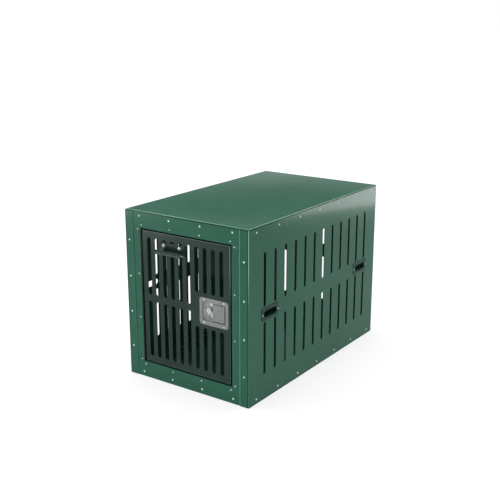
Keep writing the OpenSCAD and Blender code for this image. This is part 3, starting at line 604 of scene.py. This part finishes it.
# shares of head radius, tail radius, head height, grip and tail length; from the mandrel to the blind end
rivetOutline = [
    (0.00, 0, 0.70, 0, 0), (0.20, 0, 0.70, 0, 0), (0.24, 0, 0.56, 0, 0), (0.29, 0, 0.56, 0, 0),
    (0.33, 0, 0.96, 0, 0), (0.48, 0, 0.90, 0, 0), (0.66, 0, 0.70, 0, 0), (0.82, 0, 0.43, 0, 0),
    (0.95, 0, 0.14, 0, 0), (1.00, 0, 0.00, 0, 0), (0, 0.68, 0, 0, 0), (0, 0.68, 0, 1, 0),
    (0, 0.92, 0, 1, 0.06), (0, 1.00, 0, 1, 0.40), (0, 0.92, 0, 1, 0.78), (0, 0.50, 0, 1, 1), (0, 0, 0, 1, 1),
]
rivetSizes = {
    "sides": 24,
    "spread": 0.03,
    # head radius, head height, tail radius, tail length in millimetres
    "large": (4.5, 2.2, 3.5, 5.0),
    "small": (3.5, 1.8, 3.5, 5.0),
    "latch": (3.5, 1.6, 2.905, 4.0),
    # node: size, and the way that its heads face; None is outwards on either wall
    "rows": {
        "left_side_rivets": ("large", (-1, 0, 0)),
        "right_side_rivets": ("large", (1, 0, 0)),
        "front_flange_rivets": ("large", (0, -1, 0)),
        "rear_flange_rivets": ("large", (0, 1, 0)),
        "front_panel_rivets": ("large", (0, -1, 0)),
        "back_panel_rivets": ("large", (0, 1, 0)),
        "door_stop_rivets": ("small", (0, -1, 0)),
        "hinge_frame_rivets": ("small", (0, -1, 0)),
        "hand_grip_rivets": ("small", None),
        "latch_rivets": ("latch", (0, -1, 0)),
    },
}


def rivetRecipe(look):
    rivet = Recipe("blindRivet", "headRadius", "headHeight", "grip", "tail", "tailRadius")

    def outline(along, turn):
        head, stem, rise, grip, tail = [rivet.table(along, column) for column in zip(*rivetOutline)]
        radius = rivet.size("headRadius") * head + rivet.size("tailRadius") * stem
        height = rivet.size("headHeight") * rise - rivet.size("grip") * grip - rivet.size("tail") * tail
        return radius, height

    return rivet.close(rivet.strewn(rivet.lathe(len(rivetOutline), look["sides"], outline), look["spread"]))


def rivetRows(look):
    recipe = rivetRecipe(look)
    for node, (sort, facing) in look["rows"].items():
        headRadius, headHeight, tailRadius, tail = (value * millimetre for value in look[sort])
        places, facings = [], []
        for low, high in islands(node):
            out = Vector(facing or (math.copysign(1, low[0]), 0, 0))
            reach = abs((high - low).dot(out)) / 2
            places.append((low + high) / 2 + out * (reach - headHeight))
            facings.append(out)
        grow(recipe, node.replace("_rivets", "_blind_rivets"), node, {
            "headRadius": headRadius, "headHeight": headHeight, "grip": 2 * reach - headHeight - tail,
            "tail": tail, "tailRadius": tailRadius}, places, facings)


rivetRows(rivetSizes)
print("blind rivets set")

# shares of head radius, head height, shank radius, length and thread; from the crown to the point
boltOutline = [(r, h, 0, 0, 0) for r, h in (
    (0, 1), (0.42, 0.98), (0.62, 0.90), (0.80, 0.74), (0.93, 0.48), (1, 0.16), (1, 0.04), (0.97, 0))]
# the shank in 22 steps, threaded from the eighth to the twentieth
boltOutline += [(0, 0, 1, 0.96 * i / 22, float(7 < i < 21)) for i in range(23)]
boltOutline += [(0, 0, 0.8, 1, 0), (0, 0, 0, 1, 0)]
# shares of width and thickness
barrelOutline = [
    (0, 1), (0.45, 1), (0.87, 1), (1, 0.86), (1, 0.5), (1, 0.14), (0.87, 0), (0.45, 0), (0, 0)]
boreOutline = [(0, 1)] + [(1, 1 - i / 14) for i in range(15)] + [(0, 0)]
washerOutline = [
    (0, 0.5), (0, 0.08), (0.03, 0), (0.94, 0), (1, 0.2), (1, 0.8), (0.94, 1), (0.03, 1), (0, 0.5)]
pullBolts = {  # sizes in millimetres
    "rows": 4,  # to one step of the outline
    "sides": 24,
    "headRadius": 7.0,
    "headHeight": 4.4,
    "shankRadius": 4.0,
    "pitch": 1.25,
    "threadDepth": 0.55,
    "socketRadius": 2.9,
    "socketDepth": 2.6,
    "nutRadius": 7.6,
    "boreRadius": 4.12,
}


def boltRecipe(look):
    bolt = Recipe("capBolt", "headRadius", "headHeight", "shankRadius", "length", "pitch", "threadDepth",
                  "socketRadius", "socketDepth")

    def outline(along, turn):
        head, rise, shank, down, cut = [bolt.table(along, column) for column in zip(*boltOutline)]
        height = bolt.size("headHeight") * rise - bolt.size("length") * down
        groove = bolt.size("threadDepth") * cut * bolt.thread(height, turn, bolt.size("pitch"))
        return bolt.size("headRadius") * head + bolt.size("shankRadius") * shank - groove, height

    blank = bolt.lathe((len(boltOutline) - 1) * look["rows"] + 1, look["sides"], outline)
    socket = bolt.prism(6, bolt.size("socketRadius"), bolt.size("socketDepth") * 2.0)
    socket = bolt.shifted(socket, bolt.size("headHeight"))
    return bolt.close(bolt.strewn(bolt.cut("DIFFERENCE", blank, socket)))


def nutRecipe(look):
    nut = Recipe("hexNut", "nutRadius", "thickness", "boreRadius", "pitch", "threadDepth")

    def barrelSide(along, turn):  # a little larger than the hexagon, and the bore longer, for clean cuts
        wide, rise = [nut.table(along, column) for column in zip(*barrelOutline)]
        return nut.size("nutRadius") * wide * 1.002, nut.size("thickness") * (rise - 0.5) * 1.0005

    def boreSide(along, turn):
        wide, rise = [nut.table(along, column) for column in zip(*boreOutline)]
        height = nut.size("thickness") * (rise - 0.5) * 1.2
        groove = nut.size("threadDepth") * nut.thread(height, turn, nut.size("pitch"))
        return (nut.size("boreRadius") + groove) * wide, height

    barrel = nut.lathe(len(barrelOutline), look["sides"] * 2, barrelSide)
    bore = nut.lathe((len(boreOutline) - 1) * look["rows"] + 1, look["sides"], boreSide)
    hexagon = nut.cut("INTERSECT", nut.prism(6, nut.size("nutRadius"), nut.size("thickness")), barrel)
    return nut.close(nut.strewn(nut.cut("DIFFERENCE", hexagon, bore)))


def washerRecipe(look):
    washer = Recipe("flatWasher", "boreRadius", "outerRadius", "thickness")

    def outline(along, turn):
        wide, rise = [washer.table(along, column) for column in zip(*washerOutline)]
        bore = washer.size("boreRadius")
        return bore + (washer.size("outerRadius") - bore) * wide, washer.size("thickness") * rise

    return washer.close(washer.strewn(washer.lathe(len(washerOutline), look["sides"] * 2, outline)))


def doorPullBolts(look):
    size = {key: value * millimetre for key, value in look.items() if key not in ("rows", "sides")}
    forward = [(0, -1, 0)] * 2

    def seats(boxes, share):  # from the front of each solid, 0, to its back, 1
        return [onAxis(box, 1, share) for box in boxes]

    bolts = islands("door_pull_bolts")
    length = bolts[0][1].y - bolts[0][0].y
    grow(boltRecipe(look), "door_pull_cap_bolts", "door_pull_bolts", {
        "length": length - size["headHeight"],
        **{key: size[key] for key in ("headRadius", "headHeight", "shankRadius", "pitch", "threadDepth",
                                      "socketRadius", "socketDepth")},
    }, seats(bolts, size["headHeight"] / length), forward)
    nuts = islands("door_pull_nuts")
    grow(nutRecipe(look), "door_pull_hex_nuts", "door_pull_nuts", {
        "thickness": nuts[0][1].y - nuts[0][0].y,
        **{key: size[key] for key in ("nutRadius", "boreRadius", "pitch", "threadDepth")},
    }, seats(nuts, 0.5), forward)
    recipe = washerRecipe(look)
    doorFace = boxOf("door_panel")[0].y
    for name, front in (("door_pull_head_washers", True), ("door_pull_rear_washers", False)):
        rings = [box for box in islands("door_pull_washers") if (box[1].y < doorFace) == front]
        low, high = rings[0]
        grow(recipe, name, "door_pull_washers", {
            "boreRadius": size["boreRadius"],
            "outerRadius": (high.z - low.z) / 2,
            "thickness": high.y - low.y,
        }, seats(rings, 1), forward)


doorPullBolts(pullBolts)
print("door pull bolted on")

returnSpring = {  # radius and wire in millimetres
    "radius": 3.2,
    "wire": 0.6,
    "turns": 8,
    "closedRise": 0.0266,  # share of the length to half a turn, in the closed turn at each end
    "openRise": 0.0745,  # the same between them
    "steps": 193,
    "sides": 8,
    "keep": 0.46,  # of its length, with the bolt drawn back
}


def springRise(look):  # rise of the wire after each half turn
    closed, opened = look["closedRise"], look["openRise"]
    return [0.0, closed] + [2 * closed + opened * i for i in range(2 * look["turns"] - 3)] + [1 - closed, 1.0]


def coilSpring(look):
    coil = Recipe("coilSpring", "radius", "wire", "turns", "length")
    line = coil.node("GeometryNodeResampleCurve", {}, {
        "Curve": coil.node("GeometryNodeCurvePrimitiveLine"), "Count": look["steps"]})
    along = coil.node("GeometryNodeSplineParameter")
    turn = along * coil.size("turns") * math.tau
    wire = coil.size("wire")
    place = coil.node("ShaderNodeCombineXYZ", {}, {
        0: coil.size("radius") * turn.cosine(), 1: coil.size("radius") * turn.sine(),
        2: wire + (coil.size("length") - 2.0 * wire) * coil.table(along, springRise(look))})
    wound = coil.node("GeometryNodeSetPosition", {}, {"Geometry": line, "Position": place})
    ring = coil.node("GeometryNodeCurvePrimitiveCircle", {}, {"Resolution": look["sides"], "Radius": wire})
    recipe = coil.close(coil.strewn(coil.node("GeometryNodeCurveToMesh", {}, {
        "Curve": wound, "Profile Curve": ring, "Fill Caps": True})))
    low, high = islands("bolt_spring")[0]
    foot = tuple(onAxis((low, high), 0, 0))
    piece = grow(recipe, "bolt_coil_spring", "bolt_spring", {
        "radius": look["radius"] * millimetre, "wire": look["wire"] * millimetre, "turns": look["turns"],
        "length": high.x - low.x}, [foot], [(1, 0, 0)])
    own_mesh(piece)


coilSpring(returnSpring)
print("bolt spring wound")

# shares of head radius, length and thread; from the head's middle to the point
screwOutline = [(0, 0, 0), (0.5, 0, 0), (0.97, 0, 0), (1, 0.03, 0), (0.5, 0.457, 0)]
# the shank below the cone in nine steps, threaded from the second to the eighth
screwOutline += [(0.5, 0.457 + 0.053 * i, float(1 < i < 9)) for i in range(1, 10)]
screwOutline += [(0.45, 0.97, 0), (0.35, 1, 0), (0, 1, 0)]
strikeScrews = {  # sizes in millimetres
    "rows": 8,
    "sides": 24,
    "headRadius": 3.2,
    "pitch": 0.6,
    "threadDepth": 0.25,
    "crossLength": 3.6,
    "crossWidth": 0.8,
    "crossDepth": 1.1,
}


def flushScrews(look):
    screw = Recipe("flushScrew", "headRadius", "length", "pitch", "threadDepth", "crossLength", "crossWidth",
                   "crossDepth")

    def outline(along, turn):
        wide, down, cut = [screw.table(along, column) for column in zip(*screwOutline)]
        height = screw.size("length") * down * -1.0
        groove = screw.size("threadDepth") * cut * screw.thread(height, turn, screw.size("pitch"))
        return screw.size("headRadius") * wide - groove, height

    def slot(first, second):
        return screw.node("GeometryNodeMeshCube", {}, {"Size": screw.node("ShaderNodeCombineXYZ", {}, {
            0: screw.size(first), 1: screw.size(second), 2: screw.size("crossDepth") * 2.0})})

    cross = screw.cut("UNION", slot("crossLength", "crossWidth"), slot("crossWidth", "crossLength"))
    blank = screw.lathe((len(screwOutline) - 1) * look["rows"] + 1, look["sides"], outline)
    recipe = screw.close(screw.strewn(screw.cut("DIFFERENCE", blank, cross)))
    screws = islands("strike_screws")
    grow(recipe, "strike_flush_screws", "strike_screws", {
        "length": screws[0][1].y - screws[0][0].y,
        **{key: look[key] * millimetre for key in (
            "headRadius", "pitch", "threadDepth", "crossLength", "crossWidth", "crossDepth")},
    }, [onAxis(box, 1, 1) for box in screws], [(0, 1, 0)] * 2)


flushScrews(strikeScrews)
print("strike plate screwed on")

lamps = {
    "sky": 0.62,
    # what reflections see of the backdrop, from its foot up: sine of the elevation, brightness
    "backdrop": [(0.00, 1.0), (0.172, 0.95), (0.187, 0.45), (0.201, 0.08), (0.224, 0.03), (0.240, 0.22),
                 (0.260, 0.50), (0.30, 0.55), (1.00, 0.45)],
    "floor": srgb(247, 247, 247),
    "floorMottle": 0.97,
    "floorReach": 60.0,
    "floorGlow": 1.25,
    "floorShare": 0.48,  # of the glow round the crate, to the camera; the rest keeps the shadow
    "floorClear": (0.9, 2.6),  # how far out the glow grows to white
    "floorGloss": 0.42,  # share of the glow in reflections
    # name: place, aim, width, height, watts
    "areas": {
        "keySoftbox": ((-2.3, -0.85, 2.95), (-0.1, -0.3, 0.6), 0.8, 0.8, 36),
        "topSoftbox": ((0.2, 0.2, 3.2), (0.0, 0.0, 0.7), 1.6, 2.2, 30),
        "rearSoftbox": ((1.0, 3.0, 2.7), (0.1, 0.0, 0.6), 1.0, 0.8, 24),
        "lowRearStrip": ((1.675, 2.675, 0.15), (0.775, 2.241, 0.15), 1.3, 0.30, 7.5),
        "lowLeftStrip": ((-2.45, -2.85, 0.15), (-1.81, -2.08, 0.15), 0.7, 0.30, 13),
        "frontFill": ((-2.1, -2.7, 0.9), (-0.2, -0.5, 0.3), 1.4, 1.0, 15),
        "sideFill": ((1.7, -1.5, 1.3), (0.3, -0.3, 0.4), 1.0, 1.0, 3.5),
    },
}


def studio(look):
    world = bpy.data.worlds.new("studio")
    world.use_nodes = True
    scene.world = world
    sky = NodeMaker(world.node_tree)

    def seenBy(maker, *rays):  # 1 on rays of these kinds
        return sum((maker.node("ShaderNodeLightPath", out=ray) for ray in rays), start=0.0).atMost(1.0)

    height = sky.parts(sky.node("ShaderNodeTexCoord", out="Generated"))[2]
    backdrop = sky.node("ShaderNodeFloatCurve", {"curve": look["backdrop"]}, {
        "Factor": 1.0, "Value": height.atLeast(0.0)})
    strength = look["sky"] + seenBy(sky, "Is Camera Ray", "Is Transmission Ray") * (1.0 - look["sky"])
    strength = strength + seenBy(sky, "Is Glossy Ray") * (backdrop - look["sky"])
    light = next(n for n in world.node_tree.nodes if n.type == "BACKGROUND")
    light.inputs["Color"].default_value = (1, 1, 1, 1)
    world.node_tree.links.new(strength.socket, light.inputs["Strength"])

    ground = bpy.data.meshes.new("floor")
    reach = look["floorReach"]
    ground.from_pydata(
        [(-reach, -reach, 0), (reach, -reach, 0), (reach, reach, 0), (-reach, reach, 0)], [], [(0, 1, 2, 3)])
    floor = bpy.data.objects.new("floor", ground)
    scene.collection.objects.link(floor)
    paper = Finish("palePaper")
    fibre = paper.noise(60.0, 3.0)
    pale = look["floor"]
    dim = (*(level * look["floorMottle"] for level in pale[:3]), 1.0)
    ground.materials.append(paper.put(
        Base_Color=paper.blend(fibre, dim, pale), Roughness=0.9, Specular_IOR_Level=0.1))
    glow = paper.node("ShaderNodeEmission", {}, {"Strength": look["floorGlow"]})
    away = paper.vector("LENGTH", paper.place, out="Value")
    share = paper.ramp(away, *look["floorClear"], look["floorShare"])
    share = share * seenBy(paper, "Is Camera Ray", "Is Transmission Ray")
    share = share + seenBy(paper, "Is Glossy Ray") * look["floorGloss"]
    both = paper.node("ShaderNodeMixShader", {}, {0: share, 1: Wire(paper, paper.shader.outputs[0]), 2: glow})
    end = next(n for n in paper.tree.nodes if n.type == "OUTPUT_MATERIAL")
    paper.tree.links.new(both.socket, end.inputs["Surface"])

    for name, (place, aim, width, height, watts) in look["areas"].items():
        lamp = bpy.data.lights.new(name, "AREA")
        lamp.shape, lamp.size, lamp.size_y, lamp.energy = "RECTANGLE", width, height, watts
        holder = bpy.data.objects.new(name, lamp)
        holder.location = place
        holder.rotation_euler = (Vector(aim) - Vector(place)).to_track_quat("-Z", "Y").to_euler()
        holder.visible_camera = False
        holder.visible_glossy = "Fill" not in name  # fills leave no reflection
        scene.collection.objects.link(holder)


studio(lamps)

viewpoint = {
    "place": (2.0110, -2.9360, 1.4780),
    "back": (0.5518, -0.7880, 0.2730),  # opposite to the way it looks
    "lens": 60.98,
    "sensor": 36.0,
}


def photoCamera(look):
    lens = bpy.data.cameras.new("photoCamera")
    lens.sensor_width, lens.lens = look["sensor"], look["lens"]
    holder = bpy.data.objects.new("photoCamera", lens)
    holder.location = look["place"]
    holder.rotation_euler = (-Vector(look["back"])).to_track_quat("-Z", "Y").to_euler()
    scene.collection.objects.link(holder)
    scene.camera = holder


photoCamera(viewpoint)
print("studio and camera in place")
